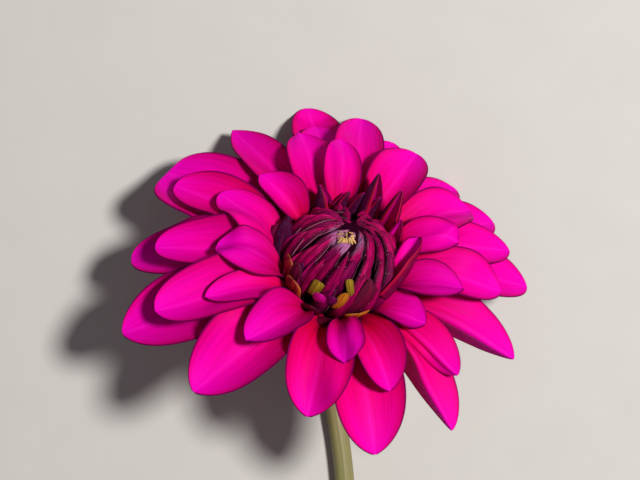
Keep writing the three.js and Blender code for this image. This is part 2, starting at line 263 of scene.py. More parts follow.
def wrapped(piece, places, radii):
    """Wraps a sheet round a path as a ribbed tube, and closes its seam."""
    turn, along = across_along(piece)
    step = along * (len(places) - 1)
    index = np.arange(len(places))
    place = np.array([np.interp(step, index, places[:, k]) for k in range(3)]).T
    lines = np.gradient(places, axis=0)
    line = np.array([np.interp(step, index, lines[:, k]) for k in range(3)]).T
    line /= np.linalg.norm(line, axis=1)[:, None]
    right = np.array([1, 0, 0]) - line * line[:, :1]
    right /= np.linalg.norm(right, axis=1)[:, None]
    up = np.cross(line, right)
    angle = turn * math.pi
    radius = np.interp(step, index, radii) + STEM_RIB_HEIGHT * np.cos(STEM_RIBS * angle)
    around = right * np.cos(angle)[:, None] + up * np.sin(angle)[:, None]
    curl(piece, place + around * radius[:, None])
    bpy.ops.object.mode_set(mode="EDIT")
    bpy.ops.mesh.select_all(action="SELECT")
    bpy.ops.mesh.remove_doubles(threshold=WELD_DISTANCE * MM)
    bpy.ops.object.mode_set(mode="OBJECT")


def stem_material():
    node, finished = new_material("stem_skin", 0.42, 0.35)
    _, v, vector = uv_of(node)
    fibres = stretched_noise(node, vector, (60, 2.5, 1), 4)
    blotches = stretched_noise(node, vector, (3, 9, 1))
    green = mixed(node, fibres, *STEM_GREENS)
    flush = ramped(
        node, calculated(node, "MULTIPLY_ADD", blotches, 0.22, v), (0.16, WHITE),
        (0.42, (0.4, 0.4, 0.4)), (0.8, (0.2, 0.2, 0.2)), (1, (0.05, 0.05, 0.05)),
    )
    rough = calculated(node, "MULTIPLY_ADD", fibres, 0.25, 0.3)
    return finished(mixed(node, flush, green, STEM_FLUSH), (fibres, 0.5, 0.0002), rough)


stem = flat_sheet("stem", STEM_SIDES, STEM_ROWS)
wrapped(stem, *stem_path())
bpy.ops.object.mode_set(mode="EDIT")
bpy.ops.mesh.select_all(action="SELECT")
bpy.ops.mesh.region_to_loop()
bpy.ops.mesh.fill_holes(sides=0)
bpy.ops.mesh.select_all(action="DESELECT")
bpy.ops.object.mode_set(mode="OBJECT")
for face in stem.data.polygons:
    face.select = len(face.vertices) > 4
stem.data.materials.append(stem_material())
stem.data.materials.append(
    grainy_material("stem_cut", 0.7, 0.2, 2600, 3, PITH_COLOURS, (0.7, 0.0001)),
)
stem.active_material_index = 1
bpy.ops.object.mode_set(mode="EDIT")
bpy.ops.mesh.normals_make_consistent(inside=False)
bpy.ops.mesh.inset(thickness=CUT_SKIN * MM, depth=0)
bpy.ops.object.material_slot_assign()
for width, height in (CUT_GROOVE, CUT_PITH):
    bpy.ops.mesh.inset(thickness=width * MM, depth=height * MM)
bpy.ops.object.mode_set(mode="OBJECT")
finish_mesh(stem)
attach(stem, "root")
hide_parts("stem_with_outer_bracts")

# ---- The outer bracts ----
# Five narrow green leaves grow from the swelling, close under the head, and turn back towards
# the stem. They are thick and a little fleshy, cupped, with a midrib and a dark red tip.

# A leaf or petal is a blade. Its root is at a radius from the flower's axis, a height above the
# closed middle and a direction, "at", and "turn" aims it past that. Its line leaves at the angle
# "rise" and eases to "fall". Across, it is an arc of half angle "cup", or "root_cup" by its root,
# with a crease, "keel", as a share of its half width. It is "claw" wide at its root, narrowed by
# "waist" up to where it is widest, and the blunter the smaller "point" is. "flat_tip" takes cup
# and keel from its tip, "sweep" bends it aside, "roll" tilts it, and "fold" turns one half down.
BLADE = {
    "keel": 0, "waist": 0.95, "turn": 0, "sweep": 0, "roll": 0, "fold": 0, "root_cup": 0,
    "flat_tip": 0,
}
EASING = 1.6
TIP_CROWDING = 1.35
KEEL_ROUNDING = 0.05
LEAST_SHARE = 0.03
LINE_SLICES = 160
FULL_ROLL_AT = 2 / 3
FLAT_TIP_FROM = 0.65
ROOT_CUP_FADE = 4
FOLD_ROUNDING = 0.3

OUTER_BRACT = {
    **BLADE, "radius": 6.6, "height": -17.7, "rise": -8, "fall": -55, "length": 13, "width": 7,
    "cup": 25, "keel": 0.2, "widest": 0.66, "point": 0.7, "claw": 0.5,
}
OUTER_BRACTS = 5
OUTER_BRACT_THICKNESS = 0.9
OUTER_BRACT_GRID = (10, 18)
FIRST_BRACT = 0.3
BRACT_GREENS = (0.075, 0.15, 0.02), (0.19, 0.30, 0.06)
BRACT_TIP = (0.22, 0.05, 0.05)


def curled(blank, name, points, *materials):
    """A copy of a blank with its own mesh, its points in millimetres and its materials."""
    piece = blank.copy()
    piece.data = blank.data.copy()
    piece.name = name
    piece.data.name = name
    bpy.context.scene.collection.objects.link(piece)
    curl(piece, points)
    for material in materials:
        piece.data.materials.append(material)
    return piece


def thickened(piece, thickness, **settings):
    """Gives a sheet a thickness, in millimetres, and rounds it."""
    finish_mesh(
        piece,
        ("SOLIDIFY", {"thickness": thickness * MM, "offset": 0, **settings}),
        ("SUBSURF", {"levels": 1, "render_levels": 1}),
    )


def crowded(along):
    """The share of a blade's length at each row; rows crowd towards the tip."""
    return 1 - (1 - along) ** TIP_CROWDING


def line_angle(shape, t):
    """The angle of a blade's line at t, above the flower's level."""
    return np.radians(shape["fall"] + (shape["rise"] - shape["fall"]) * (1 - t) ** EASING)


def line_reach(shape, t):
    """How far out and up a blade's middle line has got at t."""
    stops = np.linspace(0, 1, LINE_SLICES + 1)
    angle = line_angle(shape, (stops[1:] + stops[:-1]) / 2)
    slice_length = shape["length"] / LINE_SLICES
    out = np.concatenate([[0], np.cumsum(np.cos(angle) * slice_length)])
    up = np.concatenate([[0], np.cumsum(np.sin(angle) * slice_length)])
    return np.interp(t, stops, out), np.interp(t, stops, up)


def width_share(shape, t):
    """How wide a blade is at t, as a share of its full width."""
    widest, claw = shape["widest"], shape["claw"]
    opening = np.cos(math.pi / 2 * (1 - np.minimum(t / widest, 1)))
    beyond = np.clip((t - widest) / (1 - widest), 0, 1)
    closing = np.maximum(LEAST_SHARE, (1 - beyond**2) ** shape["point"])
    opened = np.maximum(opening, 0) ** shape["waist"]
    return np.where(t < widest, claw + (1 - claw) * opened, closing)


def blade_line(shape, t):
    """A blade's middle line: its places, and the directions to its side and its face."""
    turn = math.radians(shape["at"])
    root = np.array([math.cos(turn), math.sin(turn), 0])
    turn += math.radians(shape["turn"])
    outward = np.array([math.cos(turn), math.sin(turn), 0])
    left = np.array([-outward[1], outward[0], 0])
    above = np.array([0, 0, 1])
    angle = line_angle(shape, t)[:, None]
    out, up = line_reach(shape, t)
    face = above * np.cos(angle) - outward * np.sin(angle)
    roll = np.radians(shape["roll"]) * np.minimum(1, t / FULL_ROLL_AT)[:, None]
    place = (
        above * (shape["height"] + up)[:, None]
        + root * shape["radius"] + outward * out[:, None]
        + left * (shape["sweep"] * shape["length"] * t**2)[:, None]
    )
    side = left * np.cos(roll) + face * np.sin(roll)
    return place, side, face * np.cos(roll) - left * np.sin(roll)


def blade_points(shape, across, along, line=blade_line):
    """The middle layer of a blade, as points of the upright flower."""
    t = crowded(along)
    place, side, face = line(shape, t)
    half = shape["width"] / 2 * width_share(shape, t)
    root_cup = max(shape["cup"], shape["root_cup"])
    towards_tip = np.clip((t - FLAT_TIP_FROM) / (1 - FLAT_TIP_FROM), 0, 1)
    flat_tip = 1 - shape["flat_tip"] * towards_tip
    cup = shape["cup"] + (root_cup - shape["cup"]) * (1 - t) ** ROOT_CUP_FADE
    cup = np.radians(cup) * flat_tip
    crease = np.sqrt(across**2 + KEEL_ROUNDING) - math.sqrt(KEEL_ROUNDING)
    reach = half / cup * np.sin(cup * across)
    lift = half / cup * (1 - np.cos(cup * across)) + shape["keel"] * half * crease * flat_tip
    fold = np.radians(shape["fold"]) * np.clip(-across / FOLD_ROUNDING, 0, 1)
    reach, lift = (
        reach * np.cos(fold) - lift * np.sin(fold), lift * np.cos(fold) + reach * np.sin(fold),
    )
    return place + side * reach[:, None] + face * lift[:, None]


def bract_material():
    node, finished = new_material("outer_bract_leaf", 0.45)
    _, v, vector = uv_of(node)
    veins = stretched_noise(node, vector, (26, 1.5, 1), 4)
    green = mixed(node, veins, *BRACT_GREENS)
    along = calculated(node, "MULTIPLY_ADD", veins, 0.3, v)
    tip = ramped(node, along, (0.55, BLACK), (1, WHITE))
    return finished(mixed(node, tip, green, BRACT_TIP), (veins, 0.6, 0.0002))


OUTER_BRACT_LEAF = bract_material()
bract_blank = flat_sheet("outer_bract_blank", *OUTER_BRACT_GRID)
across, along = across_along(bract_blank)
for i in range(OUTER_BRACTS):
    shape = {**OUTER_BRACT, "at": 360 / OUTER_BRACTS * (i + FIRST_BRACT)}
    points = laid(blade_points(shape, across, along))
    bract = curled(bract_blank, f"outer_bract_{i + 1}", points, OUTER_BRACT_LEAF)
    thickened(bract, OUTER_BRACT_THICKNESS)
    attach(bract, "root")
    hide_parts("stem_with_outer_bracts")
bpy.data.objects.remove(bract_blank)

# ---- The inner bracts ----
# Eight papery, yellow-green leaves, joined at their foot, hug the underside of the petals. They
# are thin and dry, with fine lengthwise veins and a brownish see-through edge.

INNER_BRACT = {
    **BLADE, "radius": 8.2, "height": -15.0, "rise": 50, "fall": 20, "length": 14.6,
    "width": 11.5, "cup": 26, "widest": 0.6, "point": 0.8, "claw": 0.5,
}
INNER_BRACTS = 8
INNER_BRACT_THICKNESS = 0.35
INNER_BRACT_GRID = (12, 16)
EVERY_OTHER_HIGHER = 0.25
PAPER_COLOURS = (0.36, 0.36, 0.11), (0.66, 0.63, 0.30)
PAPER_EDGE = (0.30, 0.15, 0.05)

# Radii and heights of the foot that joins the bracts.
BRACT_FOOT = [(8.2, -15.5), (9, -15.2), (8.6, -14.7)]
BRACT_FOOT_SIDES = 48


def turned(name, outline, sides):
    """A round piece about the flower's axis, extruded ring by ring from its outline upwards."""
    (first, bottom), *rings = outline
    bpy.ops.mesh.primitive_circle_add(
        vertices=sides, radius=first * MM, fill_type="NGON", location=(0, 0, 0),
    )
    piece = bpy.context.object
    piece.name = name
    piece.data.name = name
    bpy.ops.object.mode_set(mode="EDIT")
    bpy.ops.mesh.select_all(action="SELECT")
    radius, height = first, bottom
    for next_radius, next_height in rings:
        rise = (0, 0, (next_height - height) * MM)
        bpy.ops.mesh.extrude_region_move(TRANSFORM_OT_translate={"value": rise})
        share = next_radius / radius
        bpy.ops.transform.resize(value=(share, share, share))
        radius, height = next_radius, next_height
    bpy.ops.mesh.select_all(action="SELECT")
    bpy.ops.mesh.normals_make_consistent(inside=False)
    bpy.ops.object.mode_set(mode="OBJECT")
    piece.data.transform(Matrix.Translation((0, 0, bottom * MM)))
    turn = Matrix((head_x, head_y, head_axis)).transposed().to_4x4()
    piece.data.transform(Matrix.Translation(Vector(HEAD_CENTRE) * MM) @ turn)
    return piece


def edge_of(node, u):
    """How near a sheet's side edges are, from 0 along its middle to 1."""
    return calculated(node, "ABSOLUTE", calculated(node, "MULTIPLY_ADD", u, 2, -1))


def paper_material():
    node, finished = new_material("inner_bract_paper", 0.5)
    u, v, vector = uv_of(node)
    veins = stretched_noise(node, vector, (34, 1.2, 1), 4)
    paper = mixed(node, veins, *PAPER_COLOURS)
    edge = calculated(node, "MAXIMUM", edge_of(node, u), v)
    dry = ramped(node, edge, (0.82, BLACK), (0.98, WHITE))
    return finished(mixed(node, dry, paper, PAPER_EDGE), (veins, 0.6, 0.00015))


INNER_BRACT_PAPER = paper_material()
bract_foot = turned("inner_bract_foot", BRACT_FOOT, BRACT_FOOT_SIDES)
bract_foot.data.materials.append(INNER_BRACT_PAPER)
finish_mesh(bract_foot)
bract_blank = flat_sheet("inner_bract_blank", *INNER_BRACT_GRID)
across, along = across_along(bract_blank)
inner_bracts = [bract_foot]
for i in range(INNER_BRACTS):
    shape = {**INNER_BRACT, "at": 360 / INNER_BRACTS * (i + FIRST_BRACT)}
    shape["height"] += EVERY_OTHER_HIGHER * (i % 2)
    points = laid(blade_points(shape, across, along))
    bract = curled(bract_blank, f"inner_bract_{i + 1}", points, INNER_BRACT_PAPER)
    thickened(bract, INNER_BRACT_THICKNESS)
    inner_bracts.append(bract)
bpy.data.objects.remove(bract_blank)
for bract in inner_bracts:
    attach(bract, "root")
    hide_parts("inner_bracts")

# ---- The petals' core ----
# Under the closed middle the roots of the petals crowd together on the round receptacle. Only
# glimpses of it show between the petals, and it is coloured near black as painted shade.

# Radii and heights of the core, from its foot to its hollow top.
CORE_OUTLINE = [
    (7.6, -14.4), (13, -9.9), (16.4, -7.4), (17, -5.6), (16, -4.2), (14, -4.4), (12.4, -6.9),
]
CORE_SIDES = 72
# Near black: painted shade for the dark between the petals' roots.
CORE_SHADE_COLOURS = (0.03, 0.0, 0.008), (0.10, 0.002, 0.016)

core = turned("petal_core", CORE_OUTLINE, CORE_SIDES)
core.data.materials.append(
    grainy_material("petal_roots_painted_shade", 0.7, 0.05, 420, 4, CORE_SHADE_COLOURS, (0.8, 0.0004)),
)
finish_mesh(core)
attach(core, "root")
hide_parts("open_petals")

# ---- The open petals ----
# Thirty-six petals in an outer, a middle and an inner ring. Each is one thin, soft blade with a
# narrow root, cupped across, creased along its middle, and eased over onto the petals below it.

PETAL_THICKNESS = 0.45

# The middle layer of a petal lies this high on the table, half as high as a solid's petal is
# thick, and bends up softly towards it.
LOWEST = 0.7 / 2
PRESS_SOFTNESS = 1

# The rings are 0, outermost, to 2, innermost. A petal between them has its share of both.
INNERMOST = 2
OUTER_RING = {
    "radius": 11.5, "height": -9, "rise": 30, "fall": -26, "cup": 38, "keel": 0.18, "waist": 0.95,
    "claw": 0.2,
}
INNER_RING = {
    "radius": 13.3, "height": -6.2, "rise": 62, "fall": -4, "cup": 44, "keel": 0.45, "waist": 2.0,
    "claw": 0.12,
}
PETAL = {
    **BLADE, "droop": 0, "point": 0.66, "widest": 0.57, "root_cup": 80, "flat_tip": 0.4,
    "tint": "magenta",
}

# Ring, direction, length, width, and what else sets a petal apart. Three are folded in half.
PETALS = [
    (0, 4, 40, 16, {}),
    (0, 28, 37.5, 15, {}),
    (0, 46, 38.5, 13, {"droop": 8, "point": 0.8}),
    (0, 71, 37.5, 13.5, {}),
    (0, 97, 45, 15, {"tint": "crimson"}),
    (0.3, 121, 40, 13, {"sweep": 0.02, "roll": -6, "point": 0.85}),
    (0, 149, 40.6, 25, {
        "sweep": -0.03, "roll": 8, "droop": -10, "point": 0.3, "widest": 0.62, "cup": 28,
        "keel": 0.1, "flat_tip": 0.7,
    }),
    (0, 178, 41, 15.5, {"sweep": -0.05, "point": 0.5}),
    (0, 203, 44.5, 21, {"sweep": -0.09}),
    (0.3, 229, 37.5, 20, {"sweep": -0.09}),
    (0.4, 260, 28.8, 17.5, {"tint": "crimson"}),
    (0, 282, 37, 19.5, {"tint": "crimson"}),
    (0, 307, 38, 15.5, {"fold": 104, "cup": 14, "keel": 0.05, "tint": "crimson"}),
    (0.2, 337, 38, 16.5, {"fold": 106, "cup": 14, "keel": 0.05}),
    (0.6, 13, 34.6, 14, {}),
    (1, 31, 28.6, 16, {}),
    (1.2, 60, 29.8, 15, {}),
    (0.8, 82, 36.6, 14.5, {}),
    (0.7, 97, 33.5, 15, {}),
    (1.2, 105, 28.2, 14, {}),
    (1, 155, 35.2, 15, {"sweep": -0.02, "point": 0.5, "tint": "crimson"}),
    (1, 180, 34.7, 14, {"sweep": -0.05, "point": 0.5}),
    (1, 204, 36.7, 17, {"sweep": -0.08, "point": 0.52}),
    (1.2, 290, 24.6, 13.8, {"keel": 0.5, "tint": "crimson"}),
    (1, 315, 29.2, 13.5, {
        "sweep": 0.02, "fold": 84, "cup": 20, "keel": 0.1, "tint": "crimson",
    }),
    (1, 355, 30.2, 15, {}),
    (2, 25, 19.6, 12, {"turn": -21}),
    (2, 90, 23.6, 11, {}),
    (2, 126, 19.5, 10.5, {"turn": 10, "keel": 0.6}),
    (2, 177, 25.5, 13, {"turn": -38, "keel": 0.1, "cup": 24, "point": 0.55}),
    (2, 199, 21, 12.4, {
        "turn": -29, "height": -3.8, "keel": 0.1, "cup": 26, "point": 0.5, "tint": "purple",
    }),
    (1.8, 217, 25.5, 10.5, {"turn": -16, "sweep": -0.1}),
    (2, 239, 23.5, 13, {"turn": -8, "sweep": -0.16, "tint": "purple"}),
    (2, 272, 16.2, 10, {
        "rise": 44, "keel": 0.5, "point": 0.75, "widest": 0.68, "waist": 1.3, "tint": "purple",
    }),
    (2, 309, 15.4, 11, {"turn": 27, "tint": "purple"}),
    (2, 338, 20, 12.4, {"turn": 16, "tint": "purple"}),
]
PETAL_COLUMNS = 16
PETAL_ROWS = 32

# How a petal is lifted off those below it: the gap kept, how far it looks for them, the most that
# it is lifted, where along it the lift starts and is full, how often the lift is spread and
# smoothed, how often it is looked at again, and how far beside a point one still counts.
REST_GAP = 0.65
REST_REACH = 7
MOST_LIFT = 5.5
LIFT_FROM = 0.1
LIFT_FULL = 0.28
SPREAD_PASSES = 14
SMOOTH_PASSES = 3
LOOKS_BACK = 2
BESIDE = 0.2

# Each petal's own waves along its edges, ribs along its face and bend of its tip.
ROUND = 6.28
WAVES = (1.1, 1.7)
WAVE_HEIGHT = 0.045
RIB_HEIGHT = 0.07
RIBS = 3.2
TIP_BEND = (-0.5, 1.3)
TIP_BEND_FROM = 0.8
TIP_BEND_SIZE = 12

# Each tint's colours: towards the root, in the middle, and towards the tip.
TINTS = {
    "magenta": ((0.60, 0.0, 0.07), (0.81, 0.0, 0.31), (0.85, 0.0, 0.48)),
    "crimson": ((0.58, 0.0, 0.045), (0.79, 0.0, 0.21), (0.84, 0.0, 0.44)),
    "purple": ((0.52, 0.0, 0.09), (0.70, 0.0, 0.31), (0.76, 0.0, 0.48)),
}
# The back is a darker copy of the face: painted shade for the undersides turned from the light.
SHADED_BACK_COLOURS = ((0.42, 0.0, 0.05), (0.62, 0.0, 0.24), (0.70, 0.0, 0.32))
# A pale line along the crease: painted highlight where the keel catches the light.
CREASE_HIGHLIGHT_COLOUR = (0.90, 0.01, 0.54)
# A dark red at the very root: painted shade where the petals crowd together.
ROOT_SHADE_COLOUR = (0.22, 0.0, 0.03)
RIM_COLOUR = (0.15, 0.0, 0.07)


def petal_material(name, low, middle, high):
    """Satin skin in three colours along the petal, with veins, a dark rim, painted shade at its
    root and flanks, and a painted highlight along the crease.
    """
    node, finished = new_material(name, 0.55, 0.02)
    u, v, vector = uv_of(node)
    edge = edge_of(node, u)
    veins = stretched_noise(node, vector, (46, 1.3, 1), 5, 0.6, 0.15)
    streaks = stretched_noise(node, vector, (9, 0.9, 1))
    along = calculated(node, "MULTIPLY_ADD", streaks, 0.3, calculated(node, "SUBTRACT", v, 0.15))
    colour = ramped(node, along, (0.05, ROOT_SHADE_COLOUR), (0.22, low), (0.52, middle), (0.95, high))
    # Painted shade: the root's crimson is mixed in towards both edges, for the flanks turned from
    # the light.
    flanks = calculated(node, "MULTIPLY_ADD", streaks, 0.35, edge)
    flank_shade = ramped(node, calculated(node, "MULTIPLY", flanks, 0.8), (0.66, BLACK), (1, WHITE))
    colour = mixed(node, calculated(node, "MULTIPLY", flank_shade, 0.8), colour, low)
    veined = ramped(node, veins, (0.36, (0.8, 0.8, 0.8)), (0.58, WHITE))
    colour = mixed(node, 1.0, colour, veined, "MULTIPLY")
    # Painted highlight: a pale line along the middle crease, stronger towards the tip.
    by_middle = calculated(node, "MULTIPLY_ADD", streaks, 0.06, edge)
    crease = ramped(node, by_middle, (0.03, (0.5, 0.5, 0.5)), (0.16, BLACK))
    colour = mixed(node, calculated(node, "MULTIPLY", crease, v), colour, CREASE_HIGHLIGHT_COLOUR)
    rim = ramped(node, edge, (0.93, BLACK), (0.975, WHITE))
    rough = calculated(node, "MULTIPLY_ADD", veins, 0.25, 0.4)
    return finished(mixed(node, rim, colour, RIM_COLOUR), (veins, 0.7, 0.00015), rough)


def petal_shape(ring, at, length, width, extras):
    """A petal's shape: what its ring gives, then what sets it apart."""
    share = ring / INNERMOST
    shape = {**PETAL, "at": at, "length": length, "width": width}
    for key, value in OUTER_RING.items():
        shape[key] = value + (INNER_RING[key] - value) * share
    shape.update(extras)
    shape["fall"] -= shape["droop"]
    return shape


def pressed(points):
    """Laid points, bent up softly where the table stops them."""
    height = points[:, 2] - LOWEST
    soft = PRESS_SOFTNESS * np.exp(np.minimum(height, PRESS_SOFTNESS) / PRESS_SOFTNESS - 1)
    points[:, 2] = LOWEST + np.where(height < PRESS_SOFTNESS, soft, height)
    return points


def softened(field):
    """A grid of values blurred once over its neighbours."""
    padded = np.pad(field, 1, mode="edge")
    return (
        padded[:-2, 1:-1] + padded[2:, 1:-1] + padded[1:-1, :-2] + padded[1:-1, 2:]
        + 2 * padded[1:-1, 1:-1]
    ) / 6


def spread(needed):
    """A soft field of lifts, nowhere much less than what is needed."""
    needed = needed.reshape(PETAL_ROWS + 1, PETAL_COLUMNS + 1)
    field = needed
    for _ in range(SPREAD_PASSES):
        field = np.maximum(needed, softened(field))
    for _ in range(SMOOTH_PASSES):
        field = softened(field)
    return field.ravel()


def tree_of(points):
    """A search tree of a petal's sheet."""
    return BVHTree.FromPolygons([Vector(point) for point in points], sheet_faces)


def lift_over(points, face, fade, below):
    """The lift that each point needs over the petals below it."""
    needed = np.zeros(len(points))
    for i in np.flatnonzero(fade):
        direction = Vector(face[i])
        start = Vector(points[i]) + direction * REST_REACH
        for tree, _ in below:
            hit = tree.ray_cast(start, -direction, REST_REACH + REST_GAP)
            if hit[0] is not None:
                needed[i] = max(needed[i], REST_REACH - hit[3] + REST_GAP)
    return np.minimum(needed, MOST_LIFT) * fade


def lift_clear(points, face, lift, fade, below):
    """The lift, raised where a point of a petal below still stands above the sheet."""
    needed = lift.copy()
    sheet = tree_of(points + face * lift[:, None])
    low, high = points.min(axis=0) - REST_REACH, points.max(axis=0) + REST_REACH
    for _, others in below:
        for other in others[np.all((others > low) & (others < high), axis=1)]:
            place, normal, index, distance = sheet.find_nearest(Vector(other), REST_REACH)
            if place is None:
                continue
            above = (Vector(other) - place).dot(normal)
            if above > -REST_GAP and distance**2 - above**2 < BESIDE**2:
                for corner in sheet_faces[index]:
                    asked = lift[corner] + (above + REST_GAP) * fade[corner]
                    needed[corner] = max(needed[corner], min(asked, MOST_LIFT))
    return needed


def rested(points, shape, along, below):
    """Lifts a petal, softly, where it would pass through the petals below it."""
    t = crowded(along)
    _, _, face = blade_line(shape, t)
    fade = np.clip((t - LIFT_FROM) / (LIFT_FULL - LIFT_FROM), 0, 1)
    lift = spread(lift_over(points, face, fade, below))
    for _ in range(LOOKS_BACK):
        lift = spread(lift_clear(points, face, lift, fade, below))
    return points + face * lift[:, None]


def grown(shape, across, along, seed):
    """A petal's points, with the small waves and ribs that set it apart."""
    draw = random.Random(seed)
    points = blade_points(shape, across, along)
    t = crowded(along)
    _, _, face = blade_line(shape, t)
    first, second, waves = draw.uniform(0, ROUND), draw.uniform(0, ROUND), draw.uniform(*WAVES)
    one_edge = np.sin(waves * ROUND * t + first) * np.maximum(-across, 0) ** 2
    other_edge = np.sin(waves * ROUND * t + second) * np.maximum(across, 0) ** 2
    wave = (one_edge + other_edge) * WAVE_HEIGHT * shape["width"] / 2
    wave *= np.sin(math.pi * np.minimum(t * 1.1, 1))
    ribs = RIB_HEIGHT * np.cos(across * math.pi * RIBS) * np.sin(math.pi * t) * (1 - across**2)
    tip = draw.uniform(*TIP_BEND) * np.maximum(t - TIP_BEND_FROM, 0) ** 2 * TIP_BEND_SIZE
    return points + face * (wave + ribs + tip)[:, None]


PETAL_FACES = {
    tint: petal_material(f"petal_face_{tint}", *colours) for tint, colours in TINTS.items()
}
# Painted shade: the petals' backs are darker than their faces.
SHADED_PETAL_BACK = petal_material("petal_back_painted_shade", *SHADED_BACK_COLOURS)
petal_blank = flat_sheet("petal_blank", PETAL_COLUMNS, PETAL_ROWS)
across, along = across_along(petal_blank)
sheet_faces = [tuple(face.vertices) for face in petal_blank.data.polygons]
below = []

# The outer ring comes first, so each petal rests on those made before it.
for number, (ring, at, length, width, extras) in sorted(enumerate(PETALS), key=lambda p: p[1][0]):
    shape = petal_shape(ring, at, length, width, extras)
    points = rested(grown(shape, across, along, number), shape, along, below)
    below.append((tree_of(points), points))
    petal = curled(
        petal_blank, f"petal_{number + 1:02d}", pressed(laid(points)),
        PETAL_FACES[shape["tint"]], SHADED_PETAL_BACK,
    )
    thickened(petal, PETAL_THICKNESS, material_offset=1)
    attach(petal, "root")
    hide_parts("open_petals")
bpy.data.objects.remove(petal_blank)

# ---- The half-open petals ----
# Between the petals and the closed middle stand young petals that are still rolled into quills.
# Their backs are dark purple or maroon with a grey bloom, and a slit shows the magenta inside.

# Each climbs from one direction to another, up to a radius and a height. "roll" is half the
# angle that its arc fills, "spin" turns its slit away from the middle, and "foot" is the radius
# and height that it starts from.
QUILLS = [
    {"from": 120, "to": 109, "radius": 18, "height": 7, "width": 12, "roll": 120, "spin": 50},
    {"from": 92, "to": 84, "radius": 17, "height": 5.4, "width": 9.5, "roll": 165, "spin": -60},
    {"from": 75, "to": 67, "radius": 21.5, "height": 10, "width": 13.5, "roll": 140, "spin": 40},
    {"from": 74, "to": 72, "radius": 17.2, "height": 6, "width": 9, "roll": 165, "spin": -70},
    {"from": 62, "to": 58, "radius": 17, "height": 7.5, "width": 8.5, "roll": 150, "spin": -40},
    {"from": 45, "to": 48, "radius": 21, "height": 9.5, "width": 12.5, "roll": 145, "spin": 30},
    {"from": 20, "to": 30, "radius": 16.2, "height": 8, "width": 8.5, "roll": 110, "spin": 35},
    {
        "from": 320, "to": 371, "radius": 18.4, "height": 7.8, "width": 10, "roll": 115,
        "spin": 42, "foot": (14.6, -0.8), "point": 0.32, "claw": 0.8, "flat_tip": 0.5,
        "finish": "maroon",
    },
    {
        "from": 187, "to": 151, "radius": 15.4, "height": 7, "width": 7, "roll": 85,
        "spin": 105, "foot": (13.6, -2), "point": 0.75,
    },
    {
        "from": 182, "to": 157, "radius": 17.4, "height": 4, "width": 6, "roll": 80,
        "spin": 100, "foot": (15.2, -3), "point": 0.75, "finish": "maroon",
    },
]
QUILL = {
    **BLADE, "foot": (14.4, -7.6), "keel": 0.1, "widest": 0.4, "point": 0.8, "claw": 0.7,
    "finish": "purple",
}
QUILL_FLARE = 1.3
QUILL_GRID = (20, 26)
LOOK_AHEAD = 0.01
QUILL_RIM = (0.40, 0.002, 0.03)

# Each finish's colours: dark, light, and grey with bloom.
QUILL_COLOURS = {
    "purple": ((0.020, 0.0, 0.014), (0.085, 0.001, 0.032), (0.07, 0.022, 0.085)),
    "maroon": ((0.06, 0.0, 0.016), (0.22, 0.0, 0.05), (0.12, 0.012, 0.07)),
}


def quill_line(quill, t):
    """A quill's middle line climbs round the closed middle, facing it."""
    def place_at(share):
        turn = np.radians(quill["from"] + (quill["to"] - quill["from"]) * share)
        foot_radius, foot_height = quill["foot"]
        radius = foot_radius + (quill["radius"] - foot_radius) * share**QUILL_FLARE
        height = foot_height + (quill["height"] - foot_height) * share
        return np.stack([radius * np.cos(turn), radius * np.sin(turn), height], axis=1)

    place = place_at(t)
    along = place_at(t + LOOK_AHEAD) - place
    along /= np.linalg.norm(along, axis=1)[:, None]
    inward = -place * np.array([1, 1, 0])
    inward /= np.linalg.norm(inward, axis=1)[:, None]
    side = np.cross(inward, along)
    side /= np.linalg.norm(side, axis=1)[:, None]
    face = np.cross(along, side)
    spin = math.radians(quill["spin"])
    return (
        place,
        side * math.cos(spin) + face * math.sin(spin),
        face * math.cos(spin) - side * math.sin(spin),
    )


def quill_back_material(name, dark, light, bloomed):
    node, finished = new_material(name, 0.5, 0.06)
    u, _, vector = uv_of(node)
    veins = stretched_noise(node, vector, (30, 1.2, 1), 4)
    bloom = stretched_noise(node, vector, (5, 6, 1), 4)
    veined = ramped(node, veins, (0.36, BLACK), (0.62, WHITE))
    grey = ramped(node, bloom, (0.45, BLACK), (0.75, (0.6, 0.6, 0.6)))
    colour = mixed(node, grey, mixed(node, veined, dark, light), bloomed)
    rim = ramped(node, edge_of(node, u), (0.8, BLACK), (0.97, WHITE))
    return finished(mixed(node, rim, colour, QUILL_RIM), (veins, 0.6, 0.00015))


QUILL_BACKS = {
    finish: quill_back_material(f"quill_back_{finish}", *colours)
    for finish, colours in QUILL_COLOURS.items()
}
quill_blank = flat_sheet("quill_blank", *QUILL_GRID)
across, along = across_along(quill_blank)
for i, quill in enumerate(QUILLS):
    shape = {**QUILL, **quill, "cup": quill["roll"]}
    points = laid(blade_points(shape, across, along, quill_line))
    materials = PETAL_FACES["magenta"], QUILL_BACKS[shape["finish"]]
    piece = curled(quill_blank, f"quill_{i + 1}", points, *materials)
    thickened(piece, PETAL_THICKNESS, material_offset=1)
    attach(piece, "root")
    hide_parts("open_petals")
bpy.data.objects.remove(quill_blank)

# ---- The closed middle ----
# Young florets, folded along a keel, wrap a dome and turn as they climb to a hollow near its top.
# They are maroon, with a pale bloom of hairs and a painted sheen up there, pale specks and lips,
# painted shade at their roots, and black gaps of painted shade between them.

DOME_RADIUS = 11.8
DOME_HEIGHT = 9.6
DOME_DEPTH = 11.5
DOME_FOOT = -6.7
DOME_SINK = 0.6
DOME_TOP_ANGLE = 88
DOME_RINGS = 20
DOME_SIDES = 64
# Near black: painted shade that shows in the gaps between the florets and in the hollow.
DOME_SHADE_COLOURS = (0.004, 0.0, 0.003), (0.035, 0.0, 0.013)
FLORET_THICKNESS = 0.35
FLORET_GRID = (14, 20)

# The florets don't meet at the dome's top, but in a dark hollow that leans from it.
HOLLOW_LEAN = 32
HOLLOW_DIRECTION = 64
HOLLOW_EASING = 1.2

